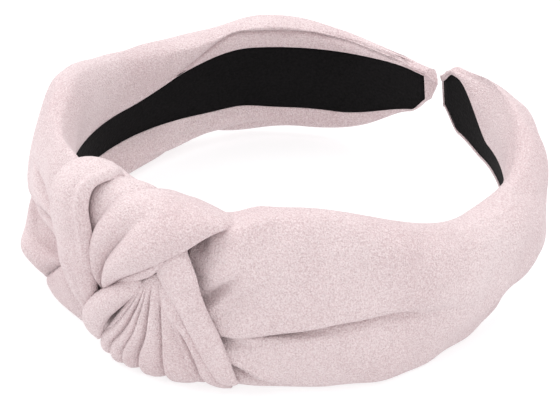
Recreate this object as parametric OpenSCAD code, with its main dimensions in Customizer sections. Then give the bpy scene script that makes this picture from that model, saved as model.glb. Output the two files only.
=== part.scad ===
// Knotted headband: a springy hoop, padded and wrapped in soft cloth that is tied into a
// wide knot to one side of the crown. It lies on its lower side edge: +Z is up, -Y is the
// crown and +Y is the gap between the tips. Lengths are in millimetres, angles in degrees.

/* [Hoop] */
// Half of the inner width, across the wearer's head
hoop_half_width = 64; // [58:1:70]
// Half of the inner depth, from the crown to the gap
hoop_half_depth = 61; // [56:1:66]
// How far the upper edge leans in over the hoop's inside
lean = 5.5; // [0:0.5:8]
// Where each tip ends, measured round the hoop from the crown
tip_angle = 177.7; // [170:0.1:178]

/* [Cover] */
// Height of the cover beside the knot
front_height = 50; // [44:1:54]
// Height of the cover half way along each arm
arm_height = 39; // [36:1:42]
// Height of the cover at each tip
tip_height = 18; // [18:1:20]
// How far the cover stands out from the lining
cover_depth = 12; // [11:0.5:14]
// The same at the tips
tip_depth = 4.8; // [4.8:0.1:6]
// Thickness of the folded cloth
cloth = 1.2; // [0.8:0.1:1.4]

/* [Core and lining] */
// Thickness of the plastic strip
core_thickness = 1.4; // [1:0.1:1.8]
// Width of the plastic strip
core_width = 19; // [16:1:20]
// Thickness of the lining ribbon
lining_thickness = 0.6; // [0.4:0.1:0.7]

/* [Knot] */
// Angle of the knot's middle, towards the right arm
knot_angle = 20; // [16:1:22]
// Highest point of the knot
knot_height = 60; // [58:1:62]

/* [Flex] */
// Angle of the lines where the arms flex, from the crown
flex_angle = 62; // [58:1:66]
// Angle through which each arm can open
opening_angle = 14; // [5:1:14]

/* [Hidden] */
clearance = 0.3;
mid_height = 22;
edge_sink = 0.5;
edge_cosine = 0.83;
lining_low = 10.5;
lining_high = 33;
lining_high_front = 22;
lining_low_tip = 19.5;
tip_top = 35;
tip_fold_start = 173.4;
core_start = lining_thickness + clearance;
core_face = core_start + core_thickness;
axis_offset = core_start + core_thickness / 2;
mm_per_degree = (hoop_half_width + hoop_half_depth) / 2 * PI / 180;
wedge = tan(opening_angle / 2 + 1);
padding_inset = cloth + 1.4;
padding_edge = 0.8;
padding_stop = 148;
frame_shift = 8.6;
left = -1;
right = 1;
knot_left_edge = -22;
knot_right_edge = 17;
wing_left_start = -knot_angle - knot_left_edge / mm_per_degree;
wing_right_start = knot_angle + knot_right_edge / mm_per_degree;
heart_span = 14;
knot_base = 12.5;
section_steps = 16;
step_angle = 5;

// ---- shared curves ----

// 0 before a, 1 after b, and a smooth turn between them
function ease(x, a, b) =
  let (k = max(0, min(1, (x - a) / (b - a))))
  k * k * (3 - 2 * k);

function mix(a, b, k) = a + (b - a) * k;

// A point at angle t round the hoop, standing out by o from the lining's inner face, at height z
function on_hoop(side, t, o, z) =
  let (
    out = o - (z - mid_height) * tan(lean),
    nx = hoop_half_depth * sin(t),
    ny = -hoop_half_width * cos(t),
    len = norm([nx, ny])
  )
  [
    side * (hoop_half_width * sin(t) + out * nx / len),
    frame_shift - hoop_half_depth * cos(t) + out * ny / len,
    z
  ];

// The cover's upper and lower edges, round the hoop
function cover_top(t) =
  mix(front_height, arm_height, ease(t, 45, 100)) - (arm_height - tip_top) * ease(t, 145, tip_angle);
function cover_bottom(t) =
  mix(-1, 3, ease(t, 70, 110)) + (tip_top - tip_height - 3) * ease(t, 135, tip_angle);
function cover_out(t) = mix(cover_depth, tip_depth, ease(t, 110, tip_angle));

// The lining's edges: the cloth folds down over it near the crown, and it narrows at the tips
function lining_top(t) = mix(lining_high_front, lining_high, ease(t, 85, 125));
function lining_bottom(t) = mix(lining_low, lining_low_tip, ease(t, 140, tip_angle));

// The cover's section is part of an ellipse, open where the lining closes it. There the
// ellipse dips edge_sink behind the lining's inner face, at the angle with edge_cosine
function cover_mid(t) = (cover_top(t) + cover_bottom(t)) / 2;
function cover_half(t) = (cover_top(t) - cover_bottom(t)) / 2;
function section_reach(t) = (cover_out(t) + edge_sink) / (1 + edge_cosine);
function section_middle(t) = cover_out(t) - section_reach(t);
function edge_angle(t, rise) = 180 - asin((rise + clearance) / (cover_half(t) - (rise > 0 ? cloth : 0)));
function top_end(t) = edge_angle(t, lining_top(t) - cover_mid(t));
function bottom_end(t) = -edge_angle(t, cover_mid(t) - lining_bottom(t));

// [o, z] on the cover's section, inset from its face by d, at angle a from straight out
function section_point(t, a, d) = [
  section_middle(t) + (section_reach(t) - d) * cos(a),
  max(d, cover_mid(t) + (cover_half(t) - d) * sin(a))
];

// ---- swept solids ----

function quad(a, b, c, d) = [[a, b, c], [a, c, d]];

// Triangles of a grid of rows x cols points, where at(r, c) gives each point's number
function grid_faces(rows, cols, at) = [
  for (r = [0:rows - 2], c = [0:cols - 2])
    each quad(at(r, c), at(r, c + 1), at(r + 1, c + 1), at(r + 1, c))
];

// Triangles of a closed solid between two skins of rows x cols points each
function skin_faces(rows, cols) =
  let (
    front = function(r, c) r * cols + c,
    back = function(r, c) rows * cols + r * cols + c,
    last_row = rows - 1,
    last_col = cols - 1
  )
  concat(
    grid_faces(rows, cols, front),
    grid_faces(rows, cols, function(r, c) back(r, last_col - c)),
    grid_faces(rows, 2, function(r, c) c == 0 ? back(r, 0) : front(r, 0)),
    grid_faces(rows, 2, function(r, c) c == 0 ? front(r, last_col) : back(r, last_col)),
    grid_faces(2, cols, function(r, c) r == 0 ? back(0, c) : front(0, c)),
    grid_faces(2, cols, function(r, c) r == 0 ? front(last_row, c) : back(last_row, c))
  );

function flipped(faces) = [for (f = faces) [f[2], f[1], f[0]]];

module solid_between(front, back, flip) {
  rows = len(front);
  cols = len(front[0]);
  points = concat([for (row = front, p = row) p], [for (row = back, p = row) p]);
  faces = skin_faces(rows, cols);
  polyhedron(points, flip ? flipped(faces) : faces, convexity = 8);
}

// Angles from a to b in steps of about step_angle
function stations(a, b) =
  let (n = max(2, ceil(abs(b - a) / step_angle)))
  [for (i = [0:n]) mix(a, b, i / n)];

// How far an end face leans back from a flex line, so that the arm can turn there
function flex_relief(o, z) =
  let (out = o - (z - mid_height) * tan(lean) - axis_offset)
  (clearance + max(0, out) * wedge) / mm_per_degree;

// t moved off a flex line, at whichever end of the span from a to b meets one
function relieved(t, a, b, p) =
  let (
    relief = flex_relief(p[0], p[1]),
    near_a = abs(a) == flex_angle ? relief : 0,
    near_b = abs(b) == flex_angle ? -relief : 0
  )
  t + mix(near_a, near_b, (t - a) / (b - a));

// A strip from angle a to b, where outer(t, k) and inner(t, k) give [o, z] for k from 0 to 1
module strip(side, a, b, cols, outer, inner) {
  skin = function(edge) [
    for (t = stations(a, b)) [
      for (c = [0:cols])
        let (p = edge(abs(t), c / cols))
        on_hoop(side, relieved(t, a, b, p), p[0], p[1])
    ]
  ];
  solid_between(skin(outer), skin(inner), side == left);
}

// ---- core, lining, padding and cover ----

function core_half(t) = core_width / 2 * sqrt(1 - 0.8 * pow(ease(t, 140, tip_fold_start), 2));
function core_middle(t) = (lining_low + lining_high) / 2 + 3 * ease(t, 140, tip_angle);

module core(side, a, b) {
  strip(side, a, b, 2,
    function(t, k) [core_face, core_middle(t) + core_half(t) * (2 * k - 1)],
    function(t, k) [core_start, core_middle(t) + core_half(t) * (2 * k - 1)]);
}

module lining(side, a, b) {
  strip(side, a, b, 2,
    function(t, k) [lining_thickness, mix(lining_bottom(t), lining_top(t), k)],
    function(t, k) [0, mix(lining_bottom(t), lining_top(t), k)]);
}

module cover(side, a, b) {
  strip(side, a, b, section_steps,
    function(t, k) section_point(t, mix(bottom_end(t), top_end(t), k), 0),
    function(t, k) section_point(t, mix(bottom_end(t), top_end(t), k), cloth));
}

// Wadding fills the cover outside the core, from a flat back
function padding_end(t) =
  acos((core_face + clearance + padding_edge - section_middle(t)) / (section_reach(t) - padding_inset));
function padding_point(t, k) = section_point(t, padding_end(t) * (2 * k - 1), padding_inset);

module padding(side, a, b) {
  strip(side, a, b, section_steps / 2,
    function(t, k) padding_point(t, k),
    function(t, k) [core_face + clearance, mix(padding_point(t, 0)[1], padding_point(t, 1)[1], k)]);
}

// The cloth folded round the end of an arm
module tip_fold(side) {
  fold_half = function(t) cover_half(t) * sqrt(1 - 0.75 * pow(ease(t, tip_fold_start, tip_angle), 2));
  fold_height = function(t, k) cover_mid(t) - fold_half(t) * cos(180 * k);
  strip(side, tip_fold_start, tip_angle, 6,
    function(t, k) [section_middle(t) + section_reach(t) * sin(180 * k), fold_height(t, k)],
    function(t, k) [0, fold_height(t, k)]);
}

// ---- knot ----

// A point on the curve through p1 and p2, k of the way between them
function curve_point(p0, p1, p2, p3, k) =
  let (
    slope = p2 - p0,
    bend = 2 * p0 - 5 * p1 + 4 * p2 - p3,
    twist = 3 * p1 - p0 - 3 * p2 + p3
  )
  p1 + 0.5 * k * (slope + k * (bend + k * twist));

function smooth_path(points, steps) =
  let (last = len(points) - 1)
  [
    for (i = [0:last - 1], j = [0:steps - 1])
      curve_point(points[max(0, i - 1)], points[i], points[i + 1], points[min(last, i + 2)], j / steps),
    points[last]
  ];

// Direction across a path in the cloth's own plane
function across(path, i) =
  let (d = path[min(len(path) - 1, i + 1)] - path[max(0, i - 1)], n = norm([d[0], d[1]]))
  [-d[1] / n, d[0] / n];

// A crowned fold of cloth. Each station is [along the hoop, height, half width, inner face, outer face]
module knot_fold(points, cols = 8) {
  path = smooth_path(points, 4);
  place = function(i, w, outer)
    let (
      p = path[i],
      side_way = across(path, i) * p[2] * w,
      crown = sqrt(1 - 0.85 * w * w),
      o = outer ? mix(p[3], p[4], crown) : p[3]
    )
    on_hoop(right, knot_angle + (p[0] + side_way[0]) / mm_per_degree, o, max(0, p[1] + side_way[1]));
  front = [for (i = [0:len(path) - 1]) [for (c = [0:cols]) place(i, 2 * c / cols - 1, true)]];
  back = [for (i = [0:len(path) - 1]) [for (c = [0:cols]) place(i, 2 * c / cols - 1, false)]];
  solid_between(front, back, false);
}

module core_crown() color("white") core(right, -flex_angle, flex_angle);
module core_left_arm() color("white") core(left, flex_angle, tip_fold_start - 0.5);
module core_right_arm() color("white") core(right, flex_angle, tip_fold_start - 0.5);

module lining_crown() color("#151515") lining(right, -flex_angle, flex_angle);
module lining_left_arm() color("#151515") lining(left, flex_angle, tip_fold_start - clearance);
module lining_right_arm() color("#151515") lining(right, flex_angle, tip_fold_start - clearance);

module padding_left_front() color("ivory") padding(left, wing_left_start + 1, flex_angle);
module padding_right_front() color("ivory") padding(right, wing_right_start + 1, flex_angle);
module padding_left_arm() color("ivory") padding(left, flex_angle, padding_stop);
module padding_right_arm() color("ivory") padding(right, flex_angle, padding_stop);

module cover_left_front() color("#e3cdd1") cover(left, wing_left_start, flex_angle);
module cover_right_front() color("#e3cdd1") cover(right, wing_right_start, flex_angle);
module cover_left_arm() color("#e3cdd1") cover(left, flex_angle, tip_fold_start - clearance);
module cover_right_arm() color("#e3cdd1") cover(right, flex_angle, tip_fold_start - clearance);

module left_tip_fold() color("#dcc3c8") tip_fold(left);
module right_tip_fold() color("#dcc3c8") tip_fold(right);

// The tight middle that the outer folds wrap round
module knot_heart() color("#cfb4ba") knot_fold([
  [-heart_span, 27, 15, core_face + clearance, 10],
  [0, 28, 19, core_face + clearance, 12],
  [heart_span, 28, 15, core_face + clearance, 10]
]);

// The left wing's end, carried up and over the knot's left side
module knot_left_strap() color("#e7d3d6") knot_fold([
  [-18, knot_height - 3, 5, 9, 12],
  [-24, knot_height - 9, 5.5, 10, 17],
  [-25.5, 38, 5, knot_base, 19],
  [-22, 22, 4, knot_base, 18]
]);

module knot_under_fold() color("#d9c0c5") knot_fold([
  [-11.5, knot_height - 6, 2.5, 10, 13],
  [-16.5, 44, 2.5, knot_base, 16],
  [-17, 33, 2, knot_base, 16]
]);

// The broad fold that crosses from the right wing's top edge down to the knot's middle
module knot_upper_fold() color("#e6d1d5") knot_fold([
  [14, 52, 7, 11, 15],
  [3, 46, 10.5, knot_base, 20],
  [-6, 36, 7, knot_base, 22],
  [-11, 29, 3, knot_base, 20]
]);

// The lower fold, gathered into pleats as it comes out of the knot
module knot_gathered_fold() color("#e2ccd0") knot_fold([
  [-6, 26, 3, knot_base, 20],
  [-6.5, 18, 12, knot_base, 23],
  [-5, 9, 16, 9, 20],
  [-2, 2, 13, 7, 13]
]);

// The strap that leaves the middle and runs down over the right wing
module knot_right_strap() color("#e5d0d4") knot_fold([
  [7, 33, 3, 13, 21],
  [12, 24, 4.5, 13, 22],
  [17.5, 13, 4.5, knot_base, 19],
  [22, 4, 4, 11.5, 15]
]);

core_crown();
core_left_arm();
core_right_arm();
lining_crown();
lining_left_arm();
lining_right_arm();
padding_left_front();
padding_right_front();
padding_left_arm();
padding_right_arm();
cover_left_front();
cover_right_front();
cover_left_arm();
cover_right_arm();
left_tip_fold();
right_tip_fold();
knot_heart();
knot_left_strap();
knot_under_fold();
knot_upper_fold();
knot_gathered_fold();
knot_right_strap();
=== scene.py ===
"""The look of a knotted headband: cloth, lining, wadding and knot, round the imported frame."""

import math

import bmesh
import bpy
import numpy as np
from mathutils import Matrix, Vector


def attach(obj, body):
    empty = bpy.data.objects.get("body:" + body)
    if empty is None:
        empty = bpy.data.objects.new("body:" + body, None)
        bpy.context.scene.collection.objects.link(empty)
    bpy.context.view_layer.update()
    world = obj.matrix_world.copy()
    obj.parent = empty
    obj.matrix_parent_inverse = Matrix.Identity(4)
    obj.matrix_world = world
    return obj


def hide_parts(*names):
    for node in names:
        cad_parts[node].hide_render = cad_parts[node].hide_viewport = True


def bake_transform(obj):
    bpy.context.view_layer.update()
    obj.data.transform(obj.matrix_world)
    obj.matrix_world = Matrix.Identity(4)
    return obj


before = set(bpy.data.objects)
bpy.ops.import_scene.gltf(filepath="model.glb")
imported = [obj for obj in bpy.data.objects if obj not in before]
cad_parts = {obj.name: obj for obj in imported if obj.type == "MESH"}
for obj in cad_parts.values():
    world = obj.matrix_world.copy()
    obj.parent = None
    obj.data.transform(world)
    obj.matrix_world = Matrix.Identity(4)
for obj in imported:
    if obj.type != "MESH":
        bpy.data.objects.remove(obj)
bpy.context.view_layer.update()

MM = 0.001
LEFT = -1
RIGHT = 1
SIDES = (LEFT, RIGHT)
SIDE_NAMES = {LEFT: "left", RIGHT: "right"}

# The hoop that everything follows, in millimetres and degrees, as the CAD has it.
# Angles start at the middle of the crown and run to the tip on each side.
HOOP_HALF_WIDTH = 64.0
HOOP_HALF_DEPTH = 61.0
HOOP_SHIFT = 8.6
HOOP_LEAN = math.radians(5.5)
MID_HEIGHT = 22.0
KNOT_ANGLE = 20.0
TIP_ANGLE = 177.7

# Heights and fullness of the cover: how far it stands out from the lining's face.
CROWN_TOP = {LEFT: 48.5, RIGHT: 50.0}
ARM_TOP = {LEFT: 38.5, RIGHT: 36.3}
ARM_LIFT = 3.3
FULLNESS = {LEFT: 10.5, RIGHT: 12.5}
TIP_FULLNESS = 4.6
COVER_THICKNESS = 0.8
COVER_STARTS = {LEFT: -26.0, RIGHT: 25.0}
COVER_LAP = 0.3

# The lining, the cover's hem that laps over its edges, and the core and wadding behind it.
LINING_LOW = 10.2
LINING_HIGH = 21.0
LINING_THICKNESS = 0.6
LINING_STARTS = {LEFT: -2.0, RIGHT: 1.0}
LINING_LAP = 0.2
HEM = 0.4
CORE_BACK = 0.9
CORE_FACE = 2.3
CORE_MIDDLE = 21.75
CORE_HALF_HEIGHT = 9.5
CORE_END = 172.9
WADDING_STARTS = {LEFT: 34.0, RIGHT: 40.0}
WADDING_END = 150.0

# How finely the surfaces are divided.
SPLINE_STEPS = 12
COVER_ROWS_PER_DEGREE = 1.4
COVER_COLUMNS = 180
WADDING_ROWS = 90
WADDING_COLUMNS = 60
TIP_ROWS = 26
TIP_COLUMNS = 90
RIBBON_ROWS = 90
RIBBON_COLUMNS = 15

# Where the tips close, and how far the cloth round them laps over the cover's cut end.
TIP_HEIGHT = 29.5
TIP_LAP_OUT = 1.06
TIP_LAP_UP = 1.02

# The camera looks at TARGET from this direction and distance.
CAMERA_AZIMUTH = math.radians(47.0)
CAMERA_ELEVATION = math.radians(31.0)
CAMERA_DISTANCE = 800.0
CAMERA_LENS = 183.0
CAMERA_SENSOR = 36.0
TARGET = (8.4, -1.6, 20.0)


# ---- camera ----


def camera():
    level = math.cos(CAMERA_ELEVATION)
    back = Vector(
        (
            math.sin(CAMERA_AZIMUTH) * level,
            -math.cos(CAMERA_AZIMUTH) * level,
            math.sin(CAMERA_ELEVATION),
        )
    )
    data = bpy.data.cameras.new("camera")
    data.lens = CAMERA_LENS
    data.sensor_width = CAMERA_SENSOR
    data.clip_start = 0.05
    holder = bpy.data.objects.new("camera", data)
    holder.location = Vector(TARGET) * MM + back * CAMERA_DISTANCE * MM
    holder.rotation_euler = back.to_track_quat("Z", "Y").to_euler()
    bpy.context.scene.collection.objects.link(holder)
    bpy.context.scene.camera = holder


camera()


# ---- curves and grids ----


def ease(x, a, b):
    """0 before a, 1 after b, and a smooth turn between them."""
    k = np.clip((np.asarray(x, float) - a) / (b - a), 0, 1)
    return k * k * (3 - 2 * k)


def mix(a, b, k):
    """a where k is 0, b where k is 1."""
    return a + (b - a) * k


def bump(x, middle, width):
    """A smooth hump, 1 at the middle and near 0 two widths away."""
    return np.exp(-(((x - middle) / width) ** 2))


def valley(distance, width):
    """A crisp crease, 1 at its line and rounding off on both sides."""
    return np.exp(-np.abs(distance) / width)


def on_hoop(side, t, o, z):
    """Points at angle t round the hoop, standing out by o from the lining's face, at height z."""
    t, o, z = np.broadcast_arrays(np.asarray(t, float), o, z)
    turn = np.radians(t)
    out = o - (z - MID_HEIGHT) * math.tan(HOOP_LEAN)
    nx = HOOP_HALF_DEPTH * np.sin(turn)
    ny = -HOOP_HALF_WIDTH * np.cos(turn)
    size = np.hypot(nx, ny)
    x = side * (HOOP_HALF_WIDTH * np.sin(turn) + out * nx / size)
    y = HOOP_SHIFT - HOOP_HALF_DEPTH * np.cos(turn) + out * ny / size
    return np.stack([x, y, z], axis=-1)


def spline(points, n):
    """n evenly spaced points on smooth curves. points[k] holds point k of every curve, one a row."""
    p = np.stack(points, axis=1)
    before = 2 * p[:, :1] - p[:, 1:2]
    after = 2 * p[:, -1:] - p[:, -2:-1]
    p = np.concatenate([before, p, after], axis=1)
    k = (np.arange(SPLINE_STEPS) / SPLINE_STEPS)[None, :, None]
    stretches = []
    for i in range(1, p.shape[1] - 2):
        a, b, c, d = (p[:, i + j, None] for j in (-1, 0, 1, 2))
        first = (c - a) * k
        second = (2 * a - 5 * b + 4 * c - d) * k**2
        third = (3 * b - a - 3 * c + d) * k**3
        stretches.append(0.5 * (2 * b + first + second + third))
    fine = np.concatenate(stretches + [p[:, -2:-1]], axis=1)
    gaps = np.linalg.norm(np.diff(fine, axis=1), axis=2)
    along = np.concatenate([np.zeros((len(fine), 1)), np.cumsum(gaps, axis=1)], axis=1)
    out = np.empty((len(fine), n, fine.shape[2]))
    for row in range(len(fine)):
        at = np.linspace(0, along[row, -1], n)
        for axis in range(fine.shape[2]):
            out[row, :, axis] = np.interp(at, along[row], fine[row, :, axis])
    return out


def grid_normals(grid):
    """Unit normals of a grid of points, square to both of its directions."""
    down = np.gradient(grid, axis=0)
    over = np.gradient(grid, axis=1)
    normal = np.cross(down, over)
    return normal / np.maximum(np.linalg.norm(normal, axis=-1, keepdims=True), 1e-9)


def grid_faces(rows, cols, wrap=False):
    """The four-sided faces of a grid of points, joined round each row if wrap is true."""
    faces = []
    for r in range(rows - 1):
        for c in range(cols if wrap else cols - 1):
            here = r * cols + c
            beside = r * cols + (c + 1) % cols
            faces.append((here, beside, beside + cols, here + cols))
    return faces


def add_mesh(name, points, faces):
    """A smooth-shaded object from points in millimetres."""
    mesh = bpy.data.meshes.new(name)
    mesh.from_pydata((points.reshape(-1, 3) * MM).tolist(), [], faces)
    mesh.update()
    mesh.shade_smooth()
    obj = bpy.data.objects.new(name, mesh)
    bpy.context.scene.collection.objects.link(obj)
    return obj


def add_sheet(name, grid, thickness, side):
    """A thin closed piece with one face on a grid of points and its body behind that face."""
    faces = grid_faces(*grid.shape[:2])
    if side == RIGHT:
        faces = [tuple(reversed(face)) for face in faces]
    obj = add_mesh(name, grid, faces)
    solidify = obj.modifiers.new("thickness", "SOLIDIFY")
    solidify.thickness = thickness * MM
    solidify.offset = -1
    depsgraph = bpy.context.evaluated_depsgraph_get()
    mesh = bpy.data.meshes.new_from_object(obj.evaluated_get(depsgraph))
    obj.modifiers.clear()
    obj.data = mesh
    return obj


def add_tube(name, grid):
    """A closed piece whose rings are the rows of a grid of points, with every face turned outwards."""
    rows, cols = grid.shape[:2]
    faces = grid_faces(rows, cols, wrap=True)
    faces.append(tuple(reversed(range(cols))))
    faces.append(tuple(range((rows - 1) * cols, rows * cols)))
    obj = add_mesh(name, grid, faces)
    work = bmesh.new()
    work.from_mesh(obj.data)
    bmesh.ops.recalc_face_normals(work, faces=work.faces)
    work.to_mesh(obj.data)
    work.free()
    return obj


# ---- materials ----


def new_material(name):
    """A new material and its main shader."""
    material = bpy.data.materials.new(name)
    material.use_nodes = True
    return material, material.node_tree.nodes["Principled BSDF"]


def set_inputs(node, values):
    for name, value in values.items():
        node.inputs[name].default_value = value


def colour_ramp(material, shader, tone, deep, pale):
    """Colours the shader from deep to pale as tone rises. Each colour comes with its place on the ramp."""
    nodes, links = material.node_tree.nodes, material.node_tree.links
    ramp = nodes.new("ShaderNodeValToRGB")
    for element, (place, colour) in zip(ramp.color_ramp.elements, (deep, pale)):
        element.position = place
        element.color = (*colour, 1)
    links.new(tone, ramp.inputs["Fac"])
    links.new(ramp.outputs["Color"], shader.inputs["Base Color"])


def crepe_material(name, pale, deep, grain_scale, relief_strength):
    """Fine crepe: a pebbled weave with slightly deeper and paler threads."""
    material, shader = new_material(name)
    nodes, links = material.node_tree.nodes, material.node_tree.links
    grain = nodes.new("ShaderNodeTexNoise")
    set_inputs(grain, {"Scale": grain_scale, "Detail": 3, "Roughness": 0.6})
    threads = nodes.new("ShaderNodeTexVoronoi")
    set_inputs(threads, {"Scale": grain_scale * 0.8})
    drift = nodes.new("ShaderNodeTexNoise")
    set_inputs(drift, {"Scale": 28, "Detail": 2})
    place = nodes.new("ShaderNodeTexCoord")
    for texture in (grain, threads, drift):
        links.new(place.outputs["Object"], texture.inputs["Vector"])

    tone = nodes.new("ShaderNodeMath")
    tone.operation = "MULTIPLY_ADD"
    tone.inputs[1].default_value = 0.35
    links.new(drift.outputs["Fac"], tone.inputs[0])
    links.new(grain.outputs["Fac"], tone.inputs[2])
    colour_ramp(material, shader, tone.outputs[0], (0.52, deep), (0.82, pale))

    relief = nodes.new("ShaderNodeMath")
    relief.operation = "ADD"
    links.new(grain.outputs["Fac"], relief.inputs[0])
    links.new(threads.outputs["Distance"], relief.inputs[1])
    weave = nodes.new("ShaderNodeBump")
    set_inputs(weave, {"Strength": relief_strength, "Distance": 0.0004})
    links.new(relief.outputs[0], weave.inputs["Height"])
    links.new(weave.outputs["Normal"], shader.inputs["Normal"])

    set_inputs(shader, {"Roughness": 0.72, "Specular IOR Level": 0.25})
    set_inputs(shader, {"Sheen Weight": 0.35, "Sheen Roughness": 0.45, "Sheen Tint": (1.0, 0.93, 0.94, 1)})
    return material


def cover_material():
    return crepe_material("blush_crepe", (0.8, 0.69, 0.697), (0.6, 0.455, 0.468), 2300, 0.8)


def lining_material():
    """Near-black ribbon, with hardly any shine."""
    material = crepe_material("black_lining", (0.008, 0.0075, 0.008), (0.003, 0.003, 0.003), 1500, 0.3)
    shader = material.node_tree.nodes["Principled BSDF"]
    set_inputs(shader, {"Roughness": 0.9, "Sheen Weight": 0.03, "Specular IOR Level": 0.08})
    return material


def wadding_material():
    return crepe_material("wadding", (0.86, 0.85, 0.82), (0.74, 0.72, 0.68), 500, 0.8)


def core_material():
    """Hazy white plastic."""
    material, shader = new_material("core_plastic")
    nodes, links = material.node_tree.nodes, material.node_tree.links
    haze = nodes.new("ShaderNodeTexNoise")
    set_inputs(haze, {"Scale": 160})
    place = nodes.new("ShaderNodeTexCoord")
    links.new(place.outputs["Object"], haze.inputs["Vector"])
    colour_ramp(material, shader, haze.outputs["Fac"], (0, (0.72, 0.71, 0.68)), (1, (0.84, 0.83, 0.8)))
    set_inputs(shader, {"Roughness": 0.42})
    return material


COVER = cover_material()
LINING = lining_material()
WADDING = wadding_material()
CORE = core_material()


def finish_piece(obj, material, slot, *replaced):
    obj.data.materials.clear()
    obj.data.materials.append(material)
    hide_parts(*replaced)


# ---- the cover's section round the hoop ----


def tip_start(side):
    """Where the cloth folded round an arm's end begins."""
    return 176.6 if side == LEFT else 176.5


def tip_end(side):
    return 178.7 if side == LEFT else 177.4


def slack(side, t):
    """How far the cloth inside the upper edge leans away from the head, from 0 to 1."""
    if side == LEFT:
        return ease(t, 2, 12) * (1 - ease(t, 24, 50))
    return 0.9 * ease(t, 98, 128) * (1 - ease(t, 160, 175))


def drawn_in(side, t):
    """How much of the cloth's fullness is left where the knot holds it."""
    return mix(0.62, 1.0, ease(t, 1, 13)) if side == LEFT else np.ones_like(t)


def cover_top(side, t):
    """Height of the cover's upper edge: high on the crown, lower along the arms."""
    if side == LEFT:
        crown = CROWN_TOP[side] + 1.2 * bump(t, 4, 5) - 1.5 * ease(-t, 14, 26)
        arm = ARM_TOP[side] + 3.0 * bump(t, 131, 15) - 1.2 * bump(t, 106, 12)
        arm = arm - 4.5 * ease(t, 140, TIP_ANGLE)
        return mix(crown, arm, ease(t, 48, 96)) - 2.5 * slack(side, t)
    arm = ARM_TOP[side] + 5.5 * ease(t, 112, 150) - 2.0 * ease(t, 158, 172) - 4.0 * ease(t, 172, 178)
    return mix(CROWN_TOP[side], arm, ease(t, 48, 98)) - 3.0 * (1 - ease(t, 30, 40))


def cover_bottom(side, t):
    """Height of the cover's lower edge: on the surface at the crown, and raised along the arms."""
    raised = mix(0.0, ARM_LIFT, ease(t, 75, 115))
    if side == LEFT:
        raised = raised + 0.9 * np.sin(np.radians(t * 11)) * bump(t, 114, 22)
    taper = ease(t, 140, 172) if side == LEFT else ease(t, 118, 148)
    return mix(raised, lining_bottom(side, t) - 0.5, taper)


def cover_out(side, t):
    return mix(FULLNESS[side], TIP_FULLNESS, ease(t, 112, TIP_ANGLE))


def lining_top(side, t):
    """Height of the upper edge of the lining that shows: wide along the left arm and near the right tip."""
    if side == LEFT:
        return LINING_HIGH + ease(t, -6, -2) + 11.0 * ease(t, 85, 125)
    return LINING_HIGH + 2.8 * ease(t, 118, 148) + 14.5 * ease(t, 155, 170) - 4.5 * ease(t, 172, 177)


def lining_bottom(side, t):
    if side == LEFT:
        rise = 8.8 * ease(t, 148, 178) + 1.2 * bump(t, 122, 7) + 5.5 * ease(t, 171, 178)
    else:
        rise = 5.6 * ease(t, 128, 158) + 2.4 * ease(t, 160, 172) + 7.5 * ease(t, 171, 177.5)
    return LINING_LOW + rise


def crease_height(t):
    """Height of the long crease that splits each wing into two layers."""
    return mix(18.5, 21.0, ease(t, 34, 62)) - 5.5 * ease(t, 62, 100)


def crease_depth(t):
    """How deep the lower layer tucks under the upper one."""
    return 4.8 * (1 - ease(t, 34, 106)) + 2.4 * (1 - ease(t, 30, 54))


def cover_section(side, t):
    """The cover's outline at each angle, from the lining's lower edge round to its upper edge."""
    top, bottom = cover_top(side, t), cover_bottom(side, t)
    low, high = lining_bottom(side, t), lining_top(side, t)
    height = top - bottom
    out = cover_out(side, t)
    slim = out / 12.0
    full = mix(1.0, 0.72, ease(t, 55, 100))
    # The lower hem, which sags between the crown and the arms and waves along the left arm.
    hem = np.minimum((low - bottom) / 4, 1)
    sag = 1.0 + (6.0 if side == LEFT else 1.5) * bump(t, 88, 24)
    wave = (0.9 * np.sin(np.radians(t * 9.5)) if side == LEFT else 0) * bump(t, 105, 30)
    # The long crease, with k as its depth against a usual one.
    crease = mix(crease_height(t), bottom + 0.4 * height, ease(t, 105, 140))
    room = np.minimum(height / 30, 1)
    shade = mix(0.8, 0.25, ease(t, 34, 66))
    tuck = crease_depth(t) if side == RIGHT else 0.45 * crease_depth(t)
    k = tuck / 4.5
    gape = 1.5 * (1 - ease(t, 26, 38)) if side == RIGHT else np.zeros_like(t)
    under_crease = crease - 3.0 * room + (2.9 - 2.8 * shade) * k - gape
    above_crease = crease + 8 * room
    # The rolled upper edge and the lip inside it.
    lean = slack(side, t)
    lip = 0.9 + 1.4 * (1 - ease(t, 60, 125))
    points = [
        (0 * t - HEM, low + HEM),
        ((-sag * 0.5 - wave) * hem - HEM, low - 0.28 * (low - bottom)),
        (-sag * hem, mix(bottom, low, 0.3) + wave * hem),
        (-sag * 0.6 * hem + 1.2 * slim, bottom + 0.15),
        (4.2 * slim, bottom),
        (8.0 * slim * full, bottom + 0.9 * slim),
        (out * 0.9 * full, bottom + 0.16 * height),
        ((out - 0.6 * k) * mix(full, 1, 0.45), mix(bottom + 0.26 * height, crease - 3.2, k) - gape),
        ((out - 0.9 * k - tuck * shade) * mix(full, 1, 0.75), under_crease),
        (out - tuck, crease + 0.9 * k),
        (out + 0.2 * k - tuck * 0.25, crease + 3.0 * room - 2.9 * k),
        (out + 0.9 * k, crease + 6.0 * room - 3.2 * k),
        (out * 0.985, mix(above_crease, top, 0.3)),
        (out * 0.86, mix(above_crease, top, 0.68)),
        (out * 0.62, top - 1.3 * slim),
        (out * 0.36 + 1.0 * lean, top),
        (0.3 * slim + 3.2 * lean, top - 0.9 - 0.5 * lean),
        (-lip * 0.9 + 3.4 * lean, mix(high, top, 0.78)),
        (-lip + 1.2 * lean, mix(high, top, 0.45)),
        (0 * t - HEM, high - HEM),
    ]
    return [np.stack(np.broadcast_arrays(o, z), axis=-1) for o, z in points]


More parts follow.
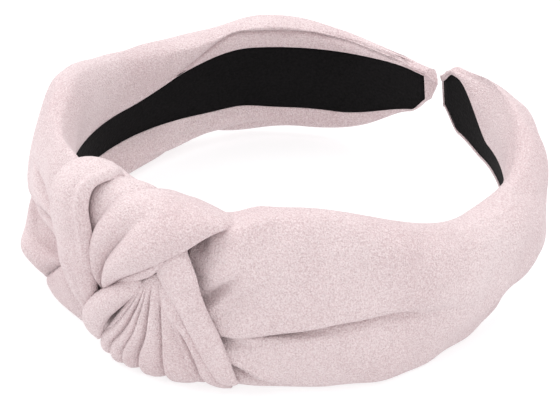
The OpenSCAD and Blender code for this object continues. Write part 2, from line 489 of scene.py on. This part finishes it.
def right_relief(t, z):
    """How far the right wing's cloth is drawn in or stands out, beside the knot and along the arm."""
    # The gather that runs out of the knot above the long crease, and the hollow under that crease.
    near = (1 - ease(t, 31, 42)) * (1 - ease(z, 33, 41))
    gather = 26 + 0.9 * np.maximum(t - 28, 0) + 0.05 * np.maximum(t - 28, 0) ** 2
    relief = -2.4 * near * bump(z, gather, 1.8) + 0.8 * near * bump(z, gather - 4.0, 2.0)
    relief += -3.2 * (1 - ease(t, 28, 44)) * bump(z, crease_height(t) - 3.6, 1.5)
    # The full upper edge beside the knot, held down where the knot's point crosses it.
    relief += 4.6 * bump(t, 35, 7.0) * ease(z, 27, 37)
    relief += -4.0 * (1 - ease(t, 27, 30.5)) * ease(z, 38, 43)
    # The flap at the strap's foot: the cloth stands out above its edge and falls back below it.
    below = 2 + 9.5 * bump(t, 29, 10.5) - z
    above_edge = 1.5 * np.exp(np.minimum(below, 0) / 2.5)
    below_edge = -5.2 * np.exp(-np.maximum(below, 0) / 2.2)
    relief += (1 - ease(t, 38, 48)) * mix(above_edge, below_edge, ease(below, -0.4, 1.2))
    relief += 1.2 * (1 - ease(t, 36, 46)) * bump(z, 3.5, 3.0)
    # The arm leans out at its top, with one soft dent and a slow unevenness.
    relief += 0.14 * (z - 22) * ease(t, 70, 100) * (1 - ease(t, 150, 174))
    relief += -1.6 * bump(t + 0.8 * (z - 38), 112, 5) * ease(z, 24, 34)
    relief += 0.6 * np.sin(t * 0.21 + z * 0.13) * ease(t, 40, 60) * (1 - ease(t, 120, 150))
    relief += 0.3 * np.sin(t * 0.5 - z * 0.22) * (1 - ease(t, 160, 174))
    return relief


def left_relief(t, z):
    """The same for the left wing: creases that fan out of the knot, and a slow unevenness."""
    near = 1 - ease(t, 24, 40)
    relief = -4.2 * near * valley(z - (28.6 + 0.22 * (t - 16)), 1.2)
    relief += -3.8 * near * valley(z - (26.0 - 0.25 * (t - 15)), 1.1)
    relief += -2.4 * near * bump(z, 20, 3.5)
    relief += 4.2 * bump(t, 28, 7) * bump(z, 11.5, 5.0)
    relief += -3.0 * bump(t, 18, 8) * valley(z - (5.2 + 1.15 * (22.5 - t)), 1.1)
    relief += 0.6 * np.sin(t * 0.19 + z * 0.15 + 2) * ease(t, 35, 60) * (1 - ease(t, 130, 155))
    relief += 0.3 * np.sin(t * 0.43 - z * 0.2) * (1 - ease(t, 160, 174))
    return relief


def inner_relief(side, t, z):
    """Creases in the cloth that is folded in over the lining's edges."""
    if side == RIGHT:
        return -0.5 * bump(z, 28 + 0.5 * (t - 120), 4.0) * ease(t, 105, 118) * (1 - ease(t, 130, 150))
    line = mix(26.0, 38.2, ease(t, 98, 122)) - 4.2 * ease(t, 138, 170)
    folded = ease(t, 96, 108) * (1 - ease(t, 165, 174)) * ease(z, 22, 26)
    relief = (1.9 * valley(z - line, 0.9) - 0.9 * ease(z - line, 0, 0.8)) * folded
    low_line = 4.5 + 2.0 * np.sin(np.radians(t * 6.0))
    low_part = ease(t, 66, 76) * (1 - ease(t, 120, 140)) * (1 - ease(z, 10, 12))
    return relief + 1.3 * valley(z - low_line, 1.2) * low_part


def cover_outline(side, t, cols):
    """[o, z] on the cover's outside with its creases, rows running round the hoop."""
    section = spline(cover_section(side, t), cols)
    o, z = section[..., 0], section[..., 1]
    outside = (right_relief if side == RIGHT else left_relief)(t[:, None], z)
    inside = inner_relief(side, t[:, None], z)
    o = np.where(o > 3, 3 + drawn_in(side, t)[:, None] * (o - 3), o)
    return o + outside * ease(o, 1.5, 7.0) + inside * (1 - ease(o, 1.0, 3.5)), z


# ---- pieces round the hoop ----


def wing(side):
    """The cover of one side, from the knot to the tip. The left one also passes under the knot."""
    start, end = COVER_STARTS[side], tip_start(side) + COVER_LAP
    t = np.linspace(start, end, round(COVER_ROWS_PER_DEGREE * (end - start)))
    o, z = cover_outline(side, t, COVER_COLUMNS)
    grid = on_hoop(side, t[:, None], o, z)
    return add_sheet(SIDE_NAMES[side] + "_wing_cover", grid, COVER_THICKNESS, side)


def wadding(side):
    """The stuffing between the core and the cover: the cover's shape drawn in towards its middle."""
    start, end = WADDING_STARTS[side], WADDING_END
    t = np.linspace(start, end, WADDING_ROWS)
    # The part of the outline that lies outside the core.
    outer_part = slice(14, 50)
    o, z = (part[:, outer_part] for part in cover_outline(side, t, WADDING_COLUMNS))
    middle_o = cover_out(side, t)[:, None] * 0.5
    middle_z = (cover_top(side, t) + cover_bottom(side, t))[:, None] / 2
    body = (ease(t, start, start + 14) * (1 - ease(t, end - 20, end)))[:, None]
    o = np.maximum(mix(middle_o, o, mix(0.2, 0.6, body)), CORE_FACE + 0.3)
    z = mix(middle_z, z, mix(0.25, 0.66, body))
    return add_tube(SIDE_NAMES[side] + "_wadding", on_hoop(side, t[:, None], o, z))


def tip(side):
    """The cloth folded round the end of an arm: the cover's own outline, closed and drawn to a point."""
    t = np.linspace(tip_start(side), tip_end(side), TIP_ROWS)
    o, z = cover_outline(side, t, TIP_COLUMNS)
    close = np.linspace(0, 1, len(t))[:, None]
    shrink = (1 - 0.85 * close**1.4) if side == LEFT else np.sqrt(1 - 0.95 * close**2)
    middle_o = o.mean(axis=1, keepdims=True)
    middle_z = mix(z.mean(axis=1, keepdims=True), TIP_HEIGHT, close)
    o = middle_o + (o - middle_o) * shrink * TIP_LAP_OUT
    z = middle_z + (z - middle_z) * shrink * TIP_LAP_UP
    return add_tube(SIDE_NAMES[side] + "_tip_cloth", on_hoop(side, t[:, None], o, z))


def ribbon(name, side, start, end, edges, outer, thickness):
    """A thin closed strip round the hoop between two heights, with its outer face at offset outer."""
    t = np.linspace(start, end, RIBBON_ROWS)
    low, high = edges(side, t)
    z = mix(low[:, None], high[:, None], np.linspace(0, 1, RIBBON_COLUMNS)[None])
    return add_sheet(name, on_hoop(side, t[:, None], outer, z), thickness, side)


def lining_edges(side, t):
    return lining_bottom(side, t), lining_top(side, t)


def core_edges(side, t):
    """The core's lower and upper edges, which close towards a slightly raised round end."""
    middle = CORE_MIDDLE + 3 * ease(t, 140, TIP_ANGLE)
    half = CORE_HALF_HEIGHT * np.sqrt(1 - 0.8 * ease(t, 140, 173.4) ** 2)
    return middle - half, middle + half


def lining(side):
    """The ribbon that shows inside the hoop, with its inner face at offset 0."""
    end = tip_start(side) + LINING_LAP
    name = SIDE_NAMES[side] + "_lining"
    return ribbon(name, side, LINING_STARTS[side], end, lining_edges, LINING_THICKNESS, LINING_THICKNESS)


def core(side):
    name = SIDE_NAMES[side] + "_core"
    return ribbon(name, side, 0.0, CORE_END, core_edges, CORE_FACE, CORE_FACE - CORE_BACK)


covers = {side: wing(side) for side in SIDES}
waddings = {side: wadding(side) for side in SIDES}
tips = {side: tip(side) for side in SIDES}
linings = {side: lining(side) for side in SIDES}
cores = {side: core(side) for side in SIDES}

for side in SIDES:
    name = SIDE_NAMES[side]
    finish_piece(waddings[side], WADDING, "wadding", f"padding_{name}_front", f"padding_{name}_arm")
    finish_piece(covers[side], COVER, "cover_cloth", f"cover_{name}_front", f"cover_{name}_arm")
    finish_piece(tips[side], COVER, "cover_cloth", f"{name}_tip_fold")
    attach(tips[side], f"{name}_arm")
finish_piece(linings[LEFT], LINING, "lining_cloth", "lining_crown", "lining_left_arm")
finish_piece(linings[RIGHT], LINING, "lining_cloth", "lining_right_arm")
finish_piece(cores[LEFT], CORE, "core_plastic", "core_crown", "core_left_arm")
finish_piece(cores[RIGHT], CORE, "core_plastic", "core_right_arm")

for side in SIDES:
    for kind in (covers, linings, cores, waddings):
        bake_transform(kind[side])


# ---- knot ----
#
# The knot's folds are set out on a flat plane that touches the hoop at KNOT_ANGLE. Each place on it
# is (distance along the band, height, distance out from the lining), in millimetres.

KNOT_TURN = math.radians(KNOT_ANGLE)
KNOT_SIDE, KNOT_FRONT = math.sin(KNOT_TURN), math.cos(KNOT_TURN)
KNOT_MIDDLE = np.array([HOOP_HALF_WIDTH * KNOT_SIDE, HOOP_SHIFT - HOOP_HALF_DEPTH * KNOT_FRONT, 0])
KNOT_ALONG = np.array([HOOP_HALF_WIDTH * KNOT_FRONT, HOOP_HALF_DEPTH * KNOT_SIDE, 0])
KNOT_ALONG /= np.linalg.norm(KNOT_ALONG)
KNOT_OUT = np.array([KNOT_ALONG[1], -KNOT_ALONG[0], 0])
UP = np.array([0, 0, 1])
FLOOR_GAP = 0.05
FOLD_ROWS = 72
FOLD_COLUMNS = 64
FOLD_FULLNESS = 0.8
FOLD_BACK = 0.9


def edge_curve(places, n):
    """n points in space on the smooth curve through places on the knot's plane."""
    along, height, out = np.moveaxis(spline([np.array([p], float) for p in places], n)[0], -1, 0)
    return KNOT_MIDDLE + along[:, None] * KNOT_ALONG + out[:, None] * KNOT_OUT + height[:, None] * UP


def fold(name, left, right, rise, relief=None, rows=FOLD_ROWS, cols=FOLD_COLUMNS):
    """A crowned fold of cloth between two edge curves, standing up by rise at each step of the way.

    relief(u, v) adds creases, with u from 0 to 1 along the fold and v from 0 to 1 across it.
    """
    left_edge = edge_curve(left, rows)[:, None]
    right_edge = edge_curve(right, rows)[:, None]
    outward = grid_normals(mix(left_edge, right_edge, np.linspace(0, 1, 9)[None, :, None])).mean(axis=1)
    if (outward @ (KNOT_OUT + 0.5 * UP)).mean() < 0:
        outward = -outward
    outward /= np.linalg.norm(outward, axis=1, keepdims=True)

    u = np.linspace(0, 1, rows)[:, None]
    turn = np.linspace(0, 2 * math.pi, 2 * cols, endpoint=False)[None]
    v = (1 - np.cos(turn)) / 2
    front = np.sin(turn) > 0
    arch = np.abs(np.sin(turn))
    height = np.interp(u, np.linspace(0, 1, len(rise)), rise)
    lift = np.where(front, height * arch**FOLD_FULLNESS, -FOLD_BACK * arch)
    if relief is not None:
        lift = lift + np.where(front, relief(u, v) * arch**0.5, 0)
    grid = mix(left_edge, right_edge, v[..., None]) + outward[:, None, :] * lift[..., None]
    grid[..., 2] = np.maximum(grid[..., 2], FLOOR_GAP)
    return add_tube(name, grid)


def left_strap():
    """The strap that comes up from behind and runs down the knot's left side, with a rolled edge."""

    def lip(u, v):
        rolled = 0.7 * bump(v, 0.92, 0.05) - 0.9 * bump(v, 0.78, 0.09)
        dent = 0.5 * bump(v, 0.6, 0.1) * ease(u, 0.5, 0.8)
        return rolled * ease(u, 0.15, 0.35) * (1 - ease(u, 0.45, 0.8)) - dent

    return fold(
        "left_strap",
        [(-26, 44, -1.5), (-28.5, 51.5, 0.5), (-32.5, 52, 3.5), (-35.3, 47, 6.5), (-34.8, 40, 8)]
        + [(-33, 33, 8.8), (-32, 26.5, 9.5), (-29, 19, 9.5), (-26, 12, 9)],
        [(-18, 44, -1.5), (-18, 51, 1), (-18, 53, 6), (-20.8, 52, 11), (-21.3, 47, 13.5)]
        + [(-19.8, 40, 14.5), (-19.4, 32, 14.5), (-19.5, 24, 13.5), (-20.5, 15, 11)],
        [1, 2.5, 3.6, 4.4, 4.5, 4.2, 4, 3.5, 2],
        lip,
    )


def under_fold():
    """The narrow fold between the left strap and the upper fold."""
    return fold(
        "under_fold",
        [(-25, 44, -1.5), (-25, 49, 2), (-24, 50, 6), (-23.5, 47, 9)]
        + [(-23, 40, 10.5), (-22.5, 30, 11), (-21, 21, 10)],
        [(-4, 44, -1.5), (-6, 49, 1), (-8, 51.5, 5), (-10, 48, 9)]
        + [(-12, 42, 11), (-14, 33, 12), (-15, 22, 11)],
        [0.5, 2, 2.5, 2.5, 2.2, 1.5, 0.6],
    )


def upper_fold():
    """The broad fold that crosses the knot from the right wing's top to the middle."""

    def crease(u, v):
        sharp = 3.0 * ease(u, 0.4, 0.7) * valley(v - 0.5, 0.1)
        soft = 0.8 * ease(u, 0.35, 0.6) * bump(v, 0.5, 0.2)
        return -sharp - soft

    return fold(
        "upper_fold",
        [(17.5, 48, 2), (12, 46, -1), (2, 46, -1.5), (-7, 48.5, 0.5), (-13.5, 49.5, 6)]
        + [(-17.5, 45, 11), (-20, 39, 12.5), (-20.3, 33, 13), (-19.6, 28, 13), (-18, 22.5, 12)],
        [(17.5, 47.2, 4), (15.6, 48, 9.5), (12.8, 46.6, 13), (9, 43.5, 15.5), (4, 40, 16.8)]
        + [(0, 37, 17.2), (-5, 33.5, 16.8), (-10, 30, 16), (-14, 26, 14.5), (-17, 22, 12)],
        [0.5, 3, 6.6, 8, 7.2, 6.2, 5.2, 4.4, 3.2, 1.5],
        crease,
    )


def under_lip():
    """The upper fold's edge, turned under."""
    return fold(
        "under_lip",
        [(7, 44, 14), (2, 39, 15.5), (-4, 34.5, 15.5), (-10, 30, 14.5), (-15, 25.5, 13)],
        [(4.5, 40, 15.5), (0.5, 35, 16.6), (-3, 32, 16.4), (-8.3, 28.8, 15.6), (-14, 24.5, 14)],
        [0.8, 1.3, 1.3, 1.2, 0.8],
    )


def right_strap():
    """The strap that runs down from under the upper fold, over the right wing."""
    return fold(
        "right_strap",
        [(-1.5, 40, 12), (-0.6, 35.5, 14), (2.5, 31, 15.3), (5.5, 27, 15.5), (8.5, 20.8, 15.2)]
        + [(11, 15, 14.6), (13.2, 10, 13.9), (15.8, 5.0, 12.8), (16, 1.5, 8)],
        [(7, 46, 12), (9, 42, 14), (12, 36.8, 15.3), (13.2, 31.3, 15), (15.0, 24.9, 14)]
        + [(17.4, 18.7, 13), (19.6, 11.5, 12), (21.6, 4.5, 11), (20.5, 1.5, 7)],
        [2, 3, 3, 3, 2.8, 2.6, 2.4, 2, 0.8],
    )


def inner_strap():
    """The layer of the right strap that lies beside the pleats."""

    def gap(u, v):
        return -2.6 * ease(u, 0.35, 0.6) * valley(v - 0.42, 0.09)

    return fold(
        "inner_strap",
        [(-2, 35, 12), (-0.7, 30, 14), (1, 24.5, 14.4), (4, 18.5, 13.8)]
        + [(6, 11, 13.3), (6.8, 5, 12.8), (7.5, 0.4, 10)],
        [(4, 34, 13), (7, 28, 14), (9, 22, 14.2), (12, 15, 13.5)]
        + [(15, 9, 12.8), (17, 4, 12), (19, 0.4, 9)],
        [1.5, 2.5, 2.8, 2.8, 2.8, 2.4, 1.5],
        gap,
    )


def rolled_fold():
    """The round roll at the left of the pleats."""
    return fold(
        "rolled_fold",
        [(-5, 31.5, 14), (-9, 29.5, 14.3), (-14, 26, 14), (-18.5, 22.5, 13.5)]
        + [(-22, 18.3, 12.3), (-24.5, 13.3, 11.5), (-24, 9, 11), (-20.5, 5.5, 11)],
        [(-4, 29, 14.5), (-5, 26.5, 15.3), (-8.5, 23, 15.6), (-12, 19, 15.2)]
        + [(-15, 15.5, 14.6), (-17, 12, 13.8), (-18.3, 9, 13), (-19, 6.5, 12)],
        [1.5, 3, 3.8, 4, 4, 3.6, 2.8, 1.5],
    )


def gathered_fold():
    """The pleats that fan out from the knot's middle."""
    # Each valley's place across the fold at its start, middle and end, and its depth.
    valleys = [
        (0.22, 0.10, -0.1, 1.2),
        (0.36, 0.26, 0.10, 2.6),
        (0.47, 0.40, 0.26, 1.6),
        (0.62, 0.57, 0.43, 3.0),
        (0.88, 0.79, 0.71, 2.8),
    ]

    def pleats(u, v):
        total = 0.8
        for start, middle, end, depth in valleys:
            at = mix(mix(start, middle, ease(u, 0, 0.55)), end, ease(u, 0.4, 1))
            width = np.where(v > at, 0.012, 0.028) * (0.6 + 0.4 * depth)
            total = total - depth * ease(u, 0.02, 0.35) * valley(v - at, width)
        return total

    return fold(
        "gathered_fold",
        [(-4, 31, 13), (-7, 26, 14), (-11, 20, 13.5), (-15, 14, 12.5)]
        + [(-19, 8, 11.5), (-20, 3, 10.5), (-18, 0.3, 7)],
        [(1.5, 34, 13), (3, 28, 14), (5, 21, 14), (7, 14.5, 13.5)]
        + [(8.5, 9, 13), (10, 4, 12.5), (10, 0.3, 9)],
        [1.5, 3, 4, 4.6, 4.8, 4.2, 2.5],
        pleats,
        rows=110,
        cols=150,
    )


def packed_cloth():
    """The cloth packed inside the knot, between its folds and the crown."""
    return fold(
        "packed_cloth",
        [(-30, 45, -1), (-31.5, 48.5, 2), (-32.5, 46, 7), (-31, 36, 8)]
        + [(-28, 22, 8), (-24, 11, 8), (-20, 3, 6)],
        [(9, 44, -1), (10, 46, 1), (9, 43, 3.5), (9.5, 36, 5)]
        + [(13, 24, 8.5), (15.5, 12, 9), (16.5, 4, 7)],
        [0.8, 2.0, 3.0, 2.6, 1.8, 1.2, 0.6],
    )


knot_pieces = [
    (left_strap, "knot_left_strap"),
    (under_fold, "knot_under_fold"),
    (upper_fold, "knot_upper_fold"),
    (under_lip, "knot_upper_fold"),
    (right_strap, "knot_right_strap"),
    (inner_strap, "knot_right_strap"),
    (rolled_fold, "knot_gathered_fold"),
    (gathered_fold, "knot_gathered_fold"),
    (packed_cloth, "knot_heart"),
]
for make, node in knot_pieces:
    piece = make()
    finish_piece(piece, COVER, "cover_cloth", node)
    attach(piece, "crown")


# ---- studio ----


def backdrop():
    """Soft, faintly pink light from all round."""
    scene = bpy.context.scene
    scene.view_settings.view_transform = "Standard"
    scene.world = bpy.data.worlds.new("studio")
    scene.world.use_nodes = True
    background = scene.world.node_tree.nodes["Background"]
    set_inputs(background, {"Color": (1.0, 0.972, 0.976, 1), "Strength": 0.92})


def pale_floor(half=3.0):
    """A plain square floor that glows a little, so that it stays white under the object."""
    corners = [(x * half, y * half, 0) for x, y in ((-1, -1), (1, -1), (1, 1), (-1, 1))]
    mesh = bpy.data.meshes.new("floor")
    mesh.from_pydata(corners, [], [(0, 1, 2, 3)])
    floor = bpy.data.objects.new("floor", mesh)
    bpy.context.scene.collection.objects.link(floor)
    material, shader = new_material("floor_white")
    set_inputs(shader, {"Base Color": (0.4, 0.4, 0.405, 1), "Roughness": 0.9, "Specular IOR Level": 0.0})
    set_inputs(shader, {"Emission Color": (1, 1, 1, 1), "Emission Strength": 0.66})
    mesh.materials.append(material)


def round_light(name, place, size, power):
    """A round soft light that shines at the object."""
    light = bpy.data.lights.new(name, "AREA")
    light.shape = "DISK"
    light.size = size
    light.energy = power
    lamp = bpy.data.objects.new(name, light)
    lamp.location = place
    aim = Vector((0, 0, 0.02)) - Vector(place)
    lamp.rotation_euler = aim.to_track_quat("-Z", "Y").to_euler()
    bpy.context.scene.collection.objects.link(lamp)


backdrop()
pale_floor()
round_light("key", (-0.75, -0.45, 0.8), 0.9, 5.6)
round_light("top", (0.2, 0.4, 1.1), 1.2, 5.2)
round_light("fill", (0.8, -0.5, 0.7), 0.9, 1.6)
